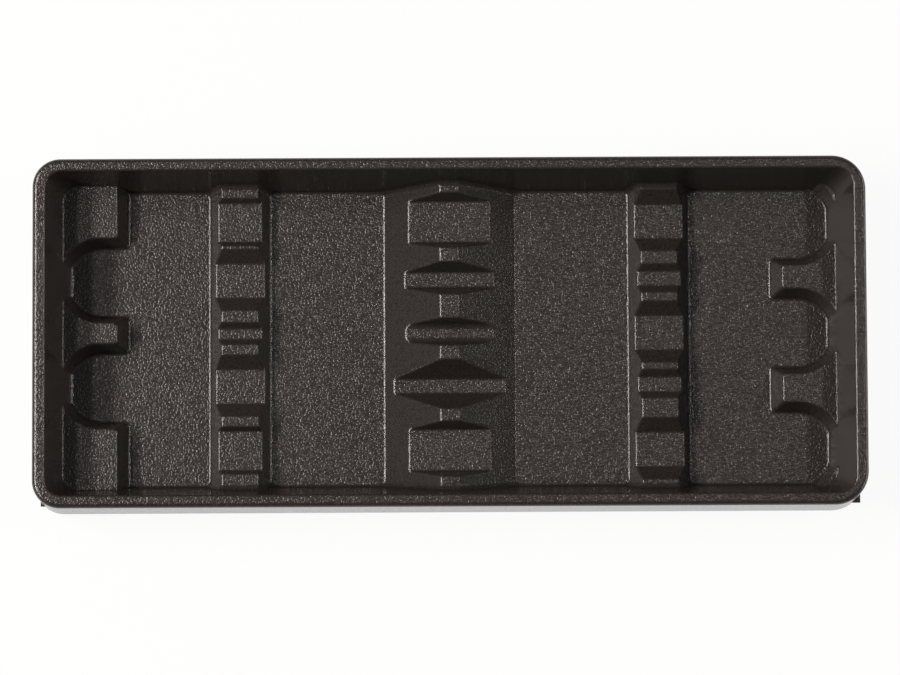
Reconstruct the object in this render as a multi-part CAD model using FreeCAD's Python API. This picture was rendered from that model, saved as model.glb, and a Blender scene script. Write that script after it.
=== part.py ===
"""Thermoformed drawer tray for five handled files, laid head to tail.

One plastic sheet is drawn into a rounded tray with a flat rim and an outer
skirt. Inside stand two end blocks with round cups for the handle ends, two low
cross ribs and a taller roof-shaped ridge, all notched at the five stations.

The form is made twice with the same functions: once for the upper face of the
sheet (depth 0) and once for its lower face (depth = sheet), where every plane
lies one sheet deeper. The tray is what lies between the two.

Units are millimetres. X runs along the tray, Y across it, Z up. The origin is
the centre of the footprint, on the plane that the base rests on.
"""
import FreeCAD, Part
import os
from collections import namedtuple
from math import cos, hypot, radians, tan

V = FreeCAD.Vector

# ---- Sheet, outline and skirt ----
sheet = 1.5
length = 421.0
width = 177.5
height = 41.5
corner_left = 14.0
corner_right = 17.0
skirt_draft = 0.7
skirt_clearance = 1.5
rim_width = 6.2
rim_outer_radius = 2.5
rim_inner_radius = 1.2

# ---- Walls of the pocket ----
side_draft = 9.4
end_draft = 15.2
pocket_corner = 9.0
edge_radius = 1.0
root_radius = 1.5
upright_radius = 3.5

# ---- Stations: where the axis of each file crosses the tray ----
stations = [58.8, 29.3, 1.9, -24.7, -57.6]

# ---- End blocks and cross ribs, with one land height for both ----
land_height = 13.0
rib_position = 106.6
rib_foot = 30.4
rib_crest = 18.4
block_foot = 163.7
block_draft = 22.0
block_corner = 2.0

# ---- Round cups for the handle ends ----
# The outermost cups sit `cup_inset` nearer the middle than their stations and
# open wider by `cup_relief` on one side, where they run out into the side wall.
cup_centre = 176.8
cup_floor_radius = 17.6
cup_mouth_radius = 21.6
cup_inset = 1.5
cup_relief = 5.0

left_cups = [(stations[1], 0), (stations[3], 0)]
right_cups = [(stations[0] - cup_inset, 1), (stations[2], 0), (stations[4] + cup_inset, -1)]

# ---- Central ridge ----
ridge_height = 18.5
ridge_foot = 66.8
ridge_crest = 9.0

# ---- Saddles: floor width, floor height, lean of the walls, root radius ----
Saddle = namedtuple("Saddle", "floor_width floor_height lean root")
handle = Saddle(17.4, 6.0, 45.0, 1.0)
rib_flat = Saddle(20.0, 9.0, 27.0, 0.8)
rib_narrow = Saddle(7.4, 9.0, 42.0, 0.8)
rib_round = Saddle(5.4, 9.0, 36.0, 1.5)
ridge_flat = Saddle(21.2, 8.2, 17.5, 1.0)
ridge_narrow = Saddle(7.9, 6.9, 20.5, 1.0)
ridge_round = Saddle(8.6, 7.2, 12.5, 3.5)
ridge_vee = Saddle(7.2, 3.3, 30.5, 1.0)

left_rib_saddles = [rib_flat, handle, rib_round, handle, rib_flat]
right_rib_saddles = [handle, rib_narrow, handle, rib_narrow, handle]
ridge_saddles = [ridge_flat, ridge_narrow, ridge_round, ridge_vee, ridge_flat]

# ---- Working allowances: how far forms run into each other and tools run out ----
embed = 1.0
overrun = 5.0
tolerance = 0.01


def slope(draft):
    """Sideways run for each millimetre of rise, for a draft in degrees."""
    return tan(radians(draft))


def normal_shift(depth, run):
    """Sideways shift of a wall of this slope when it lies `depth` deeper."""
    return depth * hypot(1.0, run)


def prism(points, direction):
    """Solid swept in a straight line from a closed polygon."""
    face = Part.Face(Part.makePolygon(points + points[:1]))
    return face.extrude(direction)


def drafted_block(half_sizes, low_z, high_z, left_radius, right_radius):
    """Block with four leaning walls, whose upright edges are rounded.

    `half_sizes` gives the half length and half width at a height.
    """
    low_length, low_width = half_sizes(low_z)
    high_length, high_width = half_sizes(high_z)
    reach_x = max(low_length, high_length) + overrun
    reach_y = max(low_width, high_width) + overrun
    along = [V(-low_length, -reach_y, low_z), V(low_length, -reach_y, low_z),
             V(high_length, -reach_y, high_z), V(-high_length, -reach_y, high_z)]
    across = [V(-reach_x, -low_width, low_z), V(-reach_x, low_width, low_z),
              V(-reach_x, high_width, high_z), V(-reach_x, -high_width, high_z)]
    block = prism(along, V(0, 2 * reach_y, 0)).common(prism(across, V(2 * reach_x, 0, 0)))
    for side, radius in ((-1, left_radius), (1, right_radius)):
        corners = [edge for edge in edges_on(block, lambda p: side * p.x > 0) if is_upright(edge)]
        block = block.makeFillet(radius, corners)
    return block


def edges_on(shape, test):
    """Edges whose two ends and middle all pass a test of position."""
    chosen = []
    for edge in shape.Edges:
        span = edge.LastParameter - edge.FirstParameter
        points = [edge.valueAt(edge.FirstParameter + span * part) for part in (0.0, 0.5, 1.0)]
        if all(test(point) for point in points):
            chosen.append(edge)
    return chosen


def is_upright(edge):
    """True for an edge that starts out steeper than 30 degrees."""
    return abs(edge.tangentAt(edge.FirstParameter).z) > 0.5


def near(value, target):
    return abs(value - target) < tolerance


# ---- Outer body ----

def rim_half_sizes():
    """Half length and half width of the pocket's mouth, at the rim."""
    inward = height * slope(skirt_draft) + rim_width
    return length / 2 - inward, width / 2 - inward


def pocket_half_sizes(z, depth):
    """Half length and half width of the pocket at a height."""
    half_length, half_width = rim_half_sizes()
    drop = height - z
    end_run = slope(end_draft)
    side_run = slope(side_draft)
    return (half_length - drop * end_run + normal_shift(depth, end_run),
            half_width - drop * side_run + normal_shift(depth, side_run))


def pocket(depth):
    """The open space inside the rim, from the floor up."""
    return drafted_block(lambda z: pocket_half_sizes(z, depth), sheet - depth, height + overrun,
                         pocket_corner + depth, pocket_corner + depth)


def skirted_block(depth):
    """The rounded block that the skirt encloses, from the base to the rim."""
    run = slope(skirt_draft)

    def half_sizes(z):
        inset = z * run + normal_shift(depth, run)
        return length / 2 - inset, width / 2 - inset
    return drafted_block(half_sizes, -depth, height - depth, corner_left - depth, corner_right - depth)


def body(depth):
    """Block with its pocket, rounded along both edges of the rim."""
    top_z = height - depth
    block = skirted_block(depth)
    block = block.makeFillet(rim_outer_radius - depth, edges_on(block, lambda p: near(p.z, top_z)))
    block = block.cut(pocket(depth))
    if depth > 0:
        return block
    mouth_length, mouth_width = rim_half_sizes()

    def on_mouth(point):
        inside = abs(point.x) < mouth_length + tolerance and abs(point.y) < mouth_width + tolerance
        return near(point.z, top_z) and inside
    return block.makeFillet(rim_inner_radius, edges_on(block, on_mouth))


# ---- Ribs and ridge ----

def saddle_tool(position, reach, place, saddle, top_z, depth):
    """The space that one saddle takes out of a crossbar."""
    run = slope(saddle.lean)
    floor_z = sheet + saddle.floor_height - depth
    out_z = top_z + overrun
    floor_half = saddle.floor_width / 2 - depth * run + normal_shift(depth, run)
    out_half = floor_half + (out_z - floor_z) * run
    start = position - reach
    section = [V(start, place - floor_half, floor_z), V(start, place + floor_half, floor_z),
               V(start, place + out_half, out_z), V(start, place - out_half, out_z)]
    tool = prism(section, V(2 * reach, 0, 0))

    def on_root(point):
        return near(point.z, floor_z) and near(abs(point.y - place), floor_half)
    return tool.makeFillet(saddle.root + depth, edges_on(tool, on_root))


def crossbar(position, foot, crest, rise, saddles, depth):
    """A straight bar across the tray with sloping sides and a saddle at each station."""
    run = (foot - crest) / 2 / rise
    low_z = sheet - depth - embed
    top_z = sheet + rise - depth
    reach = width / 2 - rim_width

    def half(z):
        return foot / 2 - (z - sheet) * run - normal_shift(depth, run)
    section = [V(position - half(low_z), -reach, low_z), V(position + half(low_z), -reach, low_z),
               V(position + half(top_z), -reach, top_z), V(position - half(top_z), -reach, top_z)]
    bar = prism(section, V(0, 2 * reach, 0))
    for place, saddle in zip(stations, saddles):
        bar = bar.cut(saddle_tool(position, foot, place, saddle, top_z, depth))
    if depth > 0:
        return bar

    def on_skin(point):
        on_side = near(abs(point.x - position), half(point.z))
        return point.z > low_z + tolerance and (near(point.z, top_z) or on_side)
    crests = [edge for edge in edges_on(bar, on_skin) if abs(edge.CenterOfMass.y) < reach - tolerance]
    return bar.makeFillet(edge_radius, crests)


# ---- End blocks ----

def cup_outline(side, place, radius, relief, z):
    """U-shaped outline: round towards the end wall, open towards the middle."""
    tip = V(side * (cup_centre + radius), place, z)
    mouth_x = side * (block_foot - cup_mouth_radius)
    arcs = []
    shoulders = []
    for hand in (-1, 1):
        wide = radius + (cup_relief if hand == relief else 0.0)
        centre = V(side * (cup_centre + radius - wide), place, z)
        middle = centre + V(side, hand, 0) * (wide * cos(radians(45)))
        shoulder = centre + V(0, hand * wide, 0)
        arcs.append(Part.Arc(tip, middle, shoulder).toShape())
        shoulders.append(shoulder)
    low, high = shoulders
    straight = Part.makePolygon([high, V(mouth_x, high.y, z), V(mouth_x, low.y, z), low])
    return Part.Wire([arcs[0], arcs[1]] + straight.Edges)


def cup_tool(side, place, relief, low_z, high_z, depth):
    """The space that one cup takes out of an end block."""
    run = (cup_mouth_radius - cup_floor_radius) / land_height
    outlines = []
    for z in (low_z, high_z):
        radius = cup_floor_radius + (z - sheet) * run + normal_shift(depth, run)
        outlines.append(cup_outline(side, place, radius, relief, z))
    return Part.makeLoft(outlines, True, True)


def end_block(side, cups, depth):
    """The raised block along one end wall, cut into lands by its cups."""
    run = slope(block_draft)
    low_z = sheet - depth - embed
    top_z = sheet + land_height - depth
    back = side * (length - rim_width) / 2
    reach = (width - rim_width) / 2

    def front(z):
        return side * (block_foot + (z - sheet) * run + normal_shift(depth, run))
    section = [V(front(low_z), -reach, low_z), V(back, -reach, low_z),
               V(back, -reach, top_z), V(front(top_z), -reach, top_z)]
    block = prism(section, V(0, 2 * reach, 0))
    for place, relief in cups:
        block = block.cut(cup_tool(side, place, relief, low_z - overrun, top_z + overrun, depth))
    floor_half_width = pocket_half_sizes(sheet, depth)[1]

    def on_front(point):
        return near(point.x, front(point.z)) and abs(point.y) < floor_half_width
    uprights = [edge for edge in edges_on(block, on_front) if is_upright(edge)]
    block = block.makeFillet(block_corner - depth, uprights)
    if depth > 0:
        return block
    crests = [edge for edge in edges_on(block, lambda p: near(p.z, top_z))
              if abs(edge.CenterOfMass.y) < reach - tolerance and abs(edge.CenterOfMass.x - back) > tolerance]
    return block.makeFillet(edge_radius, crests)


# ---- One face of the sheet ----

def formed_face(depth):
    """Everything below one face of the sheet, as a solid."""
    forms = [
        crossbar(-rib_position, rib_foot, rib_crest, land_height, left_rib_saddles, depth),
        crossbar(rib_position, rib_foot, rib_crest, land_height, right_rib_saddles, depth),
        crossbar(0.0, ridge_foot, ridge_crest, ridge_height, ridge_saddles, depth),
        end_block(-1, left_cups, depth),
        end_block(1, right_cups, depth),
    ]
    form = body(depth).fuse(forms).removeSplitter()
    floor_z = sheet - depth

    def on_wall(point):
        wall_y = pocket_half_sizes(point.z, depth)[1]
        below_crest = point.z < sheet + ridge_height
        return near(abs(point.y), wall_y) and below_crest and abs(point.x) < block_foot
    uprights = [edge for edge in edges_on(form, on_wall) if is_upright(edge)]
    form = form.makeFillet(upright_radius, uprights)

    def on_floor(point):
        return near(point.z, floor_z)
    return form.makeFillet(root_radius, edges_on(form, on_floor))


def trim_tool():
    """Takes the lower edge of the skirt off the base plane."""
    slab = Part.makeBox(2 * length, 2 * width, overrun + skirt_clearance, V(-length, -width, -overrun))
    kept_length = length / 2 - rim_width
    kept_width = width / 2 - rim_width
    kept = drafted_block(lambda z: (kept_length, kept_width), -2 * overrun, overrun, pocket_corner, pocket_corner)
    return slab.cut(kept)


def tray():
    upper = formed_face(0.0)
    lower = formed_face(sheet)
    return upper.cut(lower).cut(trim_tool())


os.makedirs("parts", exist_ok=True)
model = tray()
model.exportStep("parts/tray.step")
print("valid", model.isValid(), "solids", len(model.Solids), "volume", round(model.Volume))
print(model.BoundBox)
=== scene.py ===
"""Looks of the thermoformed file tray: moulded pebble grain, studio and camera."""
from collections import namedtuple
from math import cos, radians, sin
import bpy
from mathutils import Matrix, Vector


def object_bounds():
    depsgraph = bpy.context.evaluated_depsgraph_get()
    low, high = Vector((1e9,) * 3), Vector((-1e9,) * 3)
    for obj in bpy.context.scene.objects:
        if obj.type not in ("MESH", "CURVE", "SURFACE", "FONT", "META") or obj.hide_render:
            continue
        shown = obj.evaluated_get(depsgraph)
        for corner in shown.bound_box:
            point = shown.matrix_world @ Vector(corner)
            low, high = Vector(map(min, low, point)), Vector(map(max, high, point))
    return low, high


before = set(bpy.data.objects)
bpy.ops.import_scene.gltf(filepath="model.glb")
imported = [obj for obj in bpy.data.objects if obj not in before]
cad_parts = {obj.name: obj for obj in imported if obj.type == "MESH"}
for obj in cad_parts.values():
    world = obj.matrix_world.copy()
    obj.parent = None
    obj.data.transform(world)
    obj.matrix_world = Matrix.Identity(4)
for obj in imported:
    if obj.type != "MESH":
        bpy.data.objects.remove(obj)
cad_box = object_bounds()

floor_z = cad_box[0][2]
rim_z = cad_box[1][2]
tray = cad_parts["tray"]

# ---- Finish of the sheet (metres, linear colour) ----
PLASTIC = (0.034, 0.0285, 0.0258)
# Painted shade: a darker colour laid into the hollows of the pebble grain
HOLLOW_PAINTED_SHADE = (0.018, 0.0148, 0.0135)
IOR = 1.5
PEBBLE = 0.00095
PEBBLE_WARP = 0.6
GRAIN_DEPTH = 0.0002
FINE_GRAIN_SHARE = 1.1
EDGE_SOFTENING = 0.0013
# How far a surface faces up, from fully smooth to fully grained
SMOOTH_BELOW = 0.95
GRAINED_ABOVE = 0.995
GRAIN_ON_WALLS = 0.25
GLOSSY_ROUGHNESS = 0.12
GRAINED_ROUGHNESS = 0.31

# ---- Studio ----
LIGHT_TINT = (1.0, 0.93, 0.89)
WORLD_STRENGTH = 0.11
GROUND_PAINT = (0.8, 0.8, 0.8)
GROUND_REACH = 4.0
GROUND_GAP = 0.0002
GROUND_GLOW_SHARE = 0.93
WHITE = (1.0, 1.0, 1.0)

# Degrees round and above the tray, metres, watts
Lamp = namedtuple("Lamp", "name azimuth elevation distance wide tall power")
LAMPS = (
    Lamp("key", 176, 45, 2.4, 2.0, 0.27, 66.0),
    Lamp("glint_left", 170, 56, 2.2, 0.45, 0.10, 9.0),
    Lamp("glint_right", 10, 56, 2.2, 0.45, 0.10, 8.0),
    Lamp("low_right", 0, 10, 2.2, 2.4, 0.30, 20.0),
)

# ---- Camera ----
CAMERA_DISTANCE = 2.7
CAMERA_TILT = radians(5.5)
CAMERA_ROLL = radians(-0.28)
VIEW_WIDTH = 0.4523
AIM_SHIFT = Vector((0.00015, -0.0033, 0.0))
SENSOR_WIDTH = 36.0
CLIP_END = 20.0


def opaque(colour):
    return (*colour, 1.0)


def empty_tree(owner):
    """Node tree of a material or world, cleared for new nodes."""
    owner.use_nodes = True
    owner.node_tree.nodes.clear()
    return owner.node_tree


def node(tree, kind, place, inputs=(), **settings):
    """New node with its settings and the values of its unlinked inputs."""
    made = tree.nodes.new(kind)
    made.location = place
    for name, value in settings.items():
        setattr(made, name, value)
    for key, value in dict(inputs).items():
        made.inputs[key].default_value = value
    return made


def link(tree, source, target):
    tree.links.new(source, target)


def pebble_pattern(tree):
    """Rounded cells with wandering borders: cell height and the noise that bends it."""
    place = node(tree, "ShaderNodeTexCoord", (-1400, 0))
    warp = node(tree, "ShaderNodeTexNoise", (-1200, -300), {"Scale": 0.7 / PEBBLE, "Detail": 2.0})
    link(tree, place.outputs["Object"], warp.inputs["Vector"])
    bend = node(tree, "ShaderNodeVectorMath", (-1000, -200), {1: (PEBBLE_WARP * PEBBLE,) * 3},
                operation="MULTIPLY_ADD")
    link(tree, warp.outputs["Color"], bend.inputs[0])
    link(tree, place.outputs["Object"], bend.inputs[2])
    cells = node(tree, "ShaderNodeTexVoronoi", (-800, -100), feature="SMOOTH_F1")
    cells.inputs["Scale"].default_value = 1.0 / PEBBLE
    cells.inputs["Smoothness"].default_value = 0.5
    link(tree, bend.outputs["Vector"], cells.inputs["Vector"])
    pebble = node(tree, "ShaderNodeMapRange", (-600, -100),
                  {"From Min": 0.05, "From Max": 0.75, "To Min": 1.0, "To Max": 0.0})
    link(tree, cells.outputs["Distance"], pebble.inputs["Value"])
    return pebble.outputs["Result"], warp.outputs["Fac"]


def facing_up(tree):
    """How far the softened surface faces up, from walls to flat panels."""
    soften = node(tree, "ShaderNodeBevel", (-1400, 400), {"Radius": EDGE_SOFTENING}, samples=6)
    split = node(tree, "ShaderNodeSeparateXYZ", (-1200, 400))
    link(tree, soften.outputs["Normal"], split.inputs["Vector"])
    flat = node(tree, "ShaderNodeMapRange", (-1000, 400), interpolation_type="SMOOTHSTEP")
    for name, value in (("From Min", SMOOTH_BELOW), ("From Max", GRAINED_ABOVE), ("To Min", GRAIN_ON_WALLS)):
        flat.inputs[name].default_value = value
    link(tree, split.outputs["Z"], flat.inputs["Value"])
    return flat.outputs["Result"], soften.outputs["Normal"]


def sheet_material():
    """Dark polystyrene: pebbled where it lies flat, smoother and glossier on walls and edges, with painted
    shade in the grain hollows.
    """
    material = bpy.data.materials.new("moulded_sheet")
    tree = empty_tree(material)
    output = node(tree, "ShaderNodeOutputMaterial", (900, 0))
    shader = node(tree, "ShaderNodeBsdfPrincipled", (600, 0), {"IOR": IOR})
    link(tree, shader.outputs["BSDF"], output.inputs["Surface"])
    pebble, fine = pebble_pattern(tree)
    flat, softened = facing_up(tree)

    # Colour darkens towards the hollow colour where the pebble height sinks: painted shade in the grain
    # hollows
    colour = node(tree, "ShaderNodeMix", (-200, 300), data_type="RGBA")
    colour.inputs[6].default_value = opaque(HOLLOW_PAINTED_SHADE)
    colour.inputs[7].default_value = opaque(PLASTIC)
    link(tree, pebble, colour.inputs["Factor"])
    link(tree, colour.outputs[2], shader.inputs["Base Color"])

    rough = node(tree, "ShaderNodeMapRange", (-200, 0),
                 {"To Min": GLOSSY_ROUGHNESS, "To Max": GRAINED_ROUGHNESS})
    link(tree, flat, rough.inputs["Value"])
    link(tree, rough.outputs["Result"], shader.inputs["Roughness"])

    relief = node(tree, "ShaderNodeMath", (-400, -400), {1: FINE_GRAIN_SHARE}, operation="MULTIPLY_ADD")
    link(tree, fine, relief.inputs[0])
    link(tree, pebble, relief.inputs[2])
    height = node(tree, "ShaderNodeMath", (-200, -300), operation="MULTIPLY")
    link(tree, relief.outputs["Value"], height.inputs[0])
    link(tree, flat, height.inputs[1])
    bump = node(tree, "ShaderNodeBump", (200, -300), {"Strength": 1.0, "Distance": GRAIN_DEPTH})
    link(tree, softened, bump.inputs["Normal"])
    link(tree, height.outputs["Value"], bump.inputs["Height"])
    link(tree, bump.outputs["Normal"], shader.inputs["Normal"])
    return material


def ground_material():
    """White ground: nearly pure white in view and in reflections, with a faint shadow."""
    material = bpy.data.materials.new("white_ground")
    tree = empty_tree(material)
    output = node(tree, "ShaderNodeOutputMaterial", (600, 0))
    mix = node(tree, "ShaderNodeMixShader", (400, 0))
    paint = node(tree, "ShaderNodeBsdfDiffuse", (100, 100), {"Color": opaque(GROUND_PAINT)})
    glow = node(tree, "ShaderNodeEmission", (100, -100), {"Strength": 1.0})
    ray = node(tree, "ShaderNodeLightPath", (-300, 0))
    seen = node(tree, "ShaderNodeMath", (-150, 300), operation="MAXIMUM")
    link(tree, ray.outputs["Is Camera Ray"], seen.inputs[0])
    link(tree, ray.outputs["Is Glossy Ray"], seen.inputs[1])
    share = node(tree, "ShaderNodeMath", (0, 300), {1: GROUND_GLOW_SHARE}, operation="MULTIPLY")
    link(tree, seen.outputs["Value"], share.inputs[0])
    link(tree, share.outputs["Value"], mix.inputs["Fac"])
    link(tree, paint.outputs["BSDF"], mix.inputs[1])
    link(tree, glow.outputs["Emission"], mix.inputs[2])
    link(tree, mix.outputs["Shader"], output.inputs["Surface"])
    return material


def add_ground():
    corners = [(x * GROUND_REACH, y * GROUND_REACH, 0) for x, y in ((-1, -1), (1, -1), (1, 1), (-1, 1))]
    mesh = bpy.data.meshes.new("ground")
    mesh.from_pydata(corners, [], [(0, 1, 2, 3)])
    mesh.materials.append(ground_material())
    ground = bpy.data.objects.new("ground", mesh)
    bpy.context.collection.objects.link(ground)
    ground.location.z = floor_z - GROUND_GAP


def add_lamp(lamp):
    """Rectangular lamp on a sphere round the tray, facing its middle."""
    light = bpy.data.lights.new(lamp.name, "AREA")
    light.shape = "RECTANGLE"
    light.size = lamp.wide
    light.size_y = lamp.tall
    light.energy = lamp.power
    light.color = LIGHT_TINT
    holder = bpy.data.objects.new(lamp.name, light)
    bpy.context.collection.objects.link(holder)
    turn, rise = radians(lamp.azimuth), radians(lamp.elevation)
    direction = Vector((cos(rise) * cos(turn), cos(rise) * sin(turn), sin(rise)))
    holder.location = Vector((0, 0, rim_z)) + direction * lamp.distance
    holder.rotation_euler = direction.to_track_quat("Z", "Y").to_euler()


def add_world():
    """Dim white surroundings that the camera itself sees as pure white."""
    world = bpy.data.worlds.new("studio")
    bpy.context.scene.world = world
    tree = empty_tree(world)
    output = node(tree, "ShaderNodeOutputWorld", (400, 0))
    mix = node(tree, "ShaderNodeMixShader", (200, 0))
    dim = node(tree, "ShaderNodeBackground", (0, 100), {"Color": opaque(WHITE), "Strength": WORLD_STRENGTH})
    seen = node(tree, "ShaderNodeBackground", (0, -100), {"Color": opaque(WHITE), "Strength": 1.0})
    ray = node(tree, "ShaderNodeLightPath", (-200, 0))
    link(tree, ray.outputs["Is Camera Ray"], mix.inputs["Fac"])
    link(tree, dim.outputs["Background"], mix.inputs[1])
    link(tree, seen.outputs["Background"], mix.inputs[2])
    link(tree, mix.outputs["Shader"], output.inputs["Surface"])


def add_camera():
    """Nearly overhead, leaning a little towards the near side wall."""
    lens = bpy.data.cameras.new("camera")
    lens.sensor_width = SENSOR_WIDTH
    lens.lens = SENSOR_WIDTH * CAMERA_DISTANCE / VIEW_WIDTH
    lens.clip_end = CLIP_END
    camera = bpy.data.objects.new("camera", lens)
    bpy.context.collection.objects.link(camera)
    aim = Vector((0, 0, rim_z)) + AIM_SHIFT
    back = Vector((0, -sin(CAMERA_TILT), cos(CAMERA_TILT)))
    turn = back.to_track_quat("Z", "Y").to_matrix() @ Matrix.Rotation(CAMERA_ROLL, 3, "Z")
    camera.matrix_world = Matrix.LocRotScale(aim + back * CAMERA_DISTANCE, turn, None)
    bpy.context.scene.camera = camera


sheet = sheet_material()
for slot in tray.material_slots:
    slot.material = sheet
add_ground()
add_world()
for lamp in LAMPS:
    add_lamp(lamp)
add_camera()
bpy.context.scene.view_settings.view_transform = "Standard"
